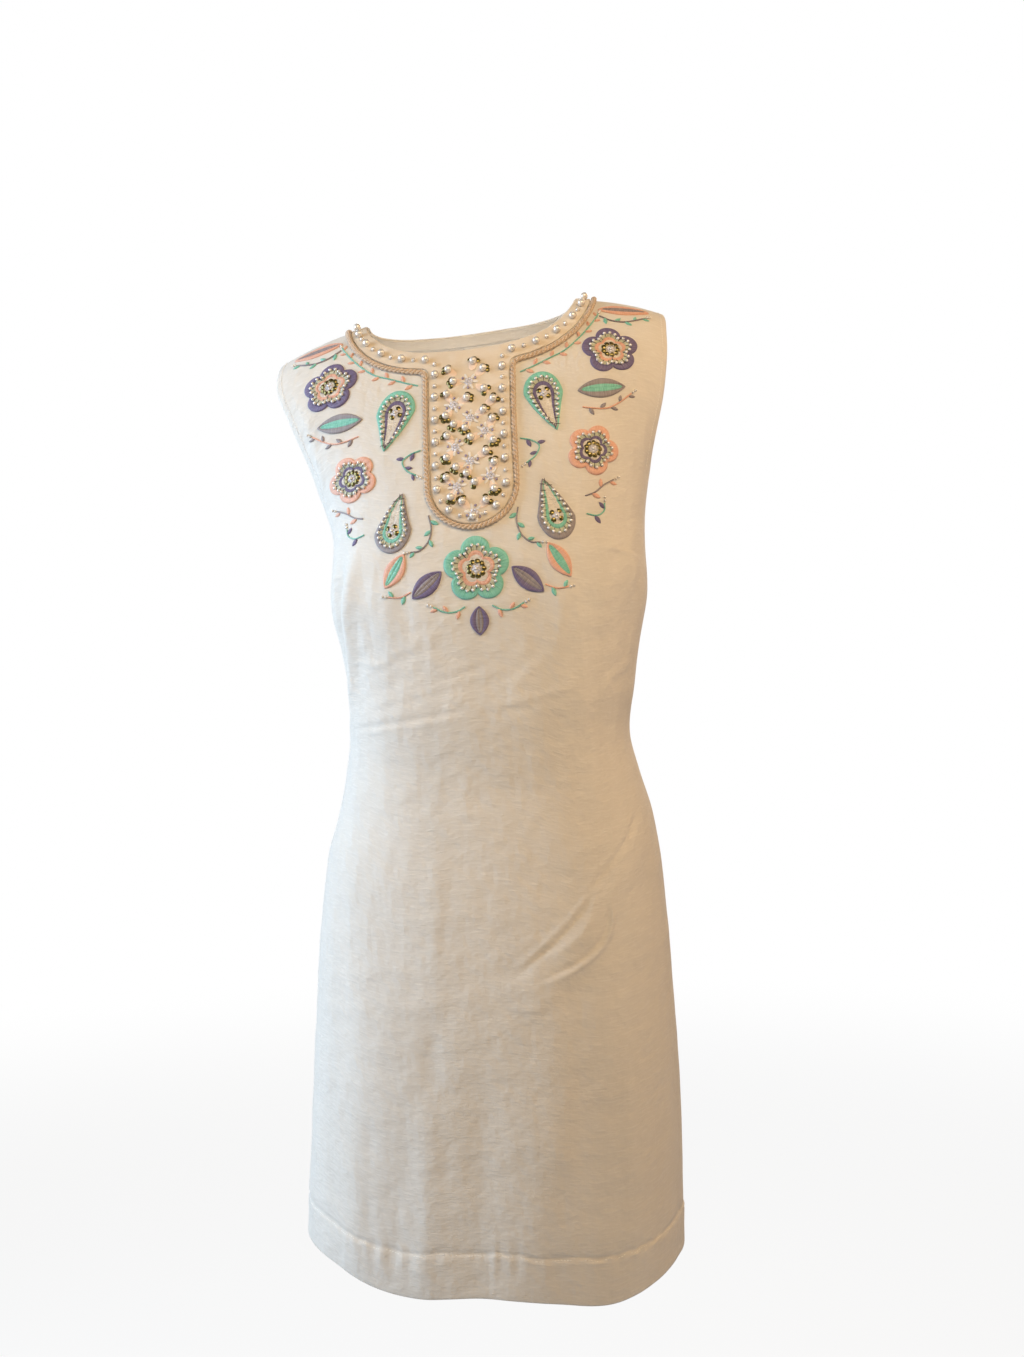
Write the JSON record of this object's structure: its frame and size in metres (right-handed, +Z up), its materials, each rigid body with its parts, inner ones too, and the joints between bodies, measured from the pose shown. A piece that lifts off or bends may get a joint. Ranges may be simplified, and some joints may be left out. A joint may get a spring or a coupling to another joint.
{
  "type": "shift dress",
  "caption": "Sleeveless knee-length shift dress in ivory slub cloth, shown worn, with a beaded bib, twisted braid and embroidered paisleys, leaves and flowers round the neckline.",
  "frame": {"origin": "midway between the shoulders, at the height of the neckline's ends, where the wearer's shoulders carry the dress", "axes": "+Z up from hem to shoulders, -Y the way the wearer faces, +X towards the wearer's left"},
  "size_m": [0.3761, 0.29, 0.9191],
  "materials": {
    "ivory_cloth": "matte slub weave",
    "bead_backing": "knotted ground stitch with beads",
    "twisted_braid": "soft lustre",
    "satin_stitch_peach": "satin stitch",
    "satin_stitch_mint": "satin stitch",
    "satin_stitch_grey": "satin stitch",
    "satin_stitch_lilac": "satin stitch",
    "zip_tape": "matte",
    "pearl": "pearl lustre",
    "sequin": "antique gold"
  },
  "bodies": {
    "root": {"front_panel": "ivory_cloth", "back_panel_right": "ivory_cloth", "back_panel_left": "ivory_cloth", "back_zip": "zip_tape", "beaded_bib": "bead_backing", "braid": "twisted_braid", "shoulder_leaf_left": "satin_stitch_peach", "shoulder_leaf_right": "satin_stitch_peach", "top_flower_left": "satin_stitch_lilac", "top_flower_right": "satin_stitch_lilac", "upper_paisley_left": "satin_stitch_mint", "upper_paisley_right": "satin_stitch_mint", "upper_leaf_left": "satin_stitch_grey", "upper_leaf_right": "satin_stitch_grey", "middle_flower_left": "satin_stitch_peach", "middle_flower_right": "satin_stitch_peach", "lower_paisley_left": "satin_stitch_grey", "lower_paisley_right": "satin_stitch_grey", "lower_leaf_left": "satin_stitch_peach", "lower_leaf_right": "satin_stitch_peach", "centre_leaf_left": "satin_stitch_lilac", "centre_leaf_right": "satin_stitch_lilac", "centre_flower": "satin_stitch_mint", "tip_leaf": "satin_stitch_lilac"}
  },
  "joints": []
}
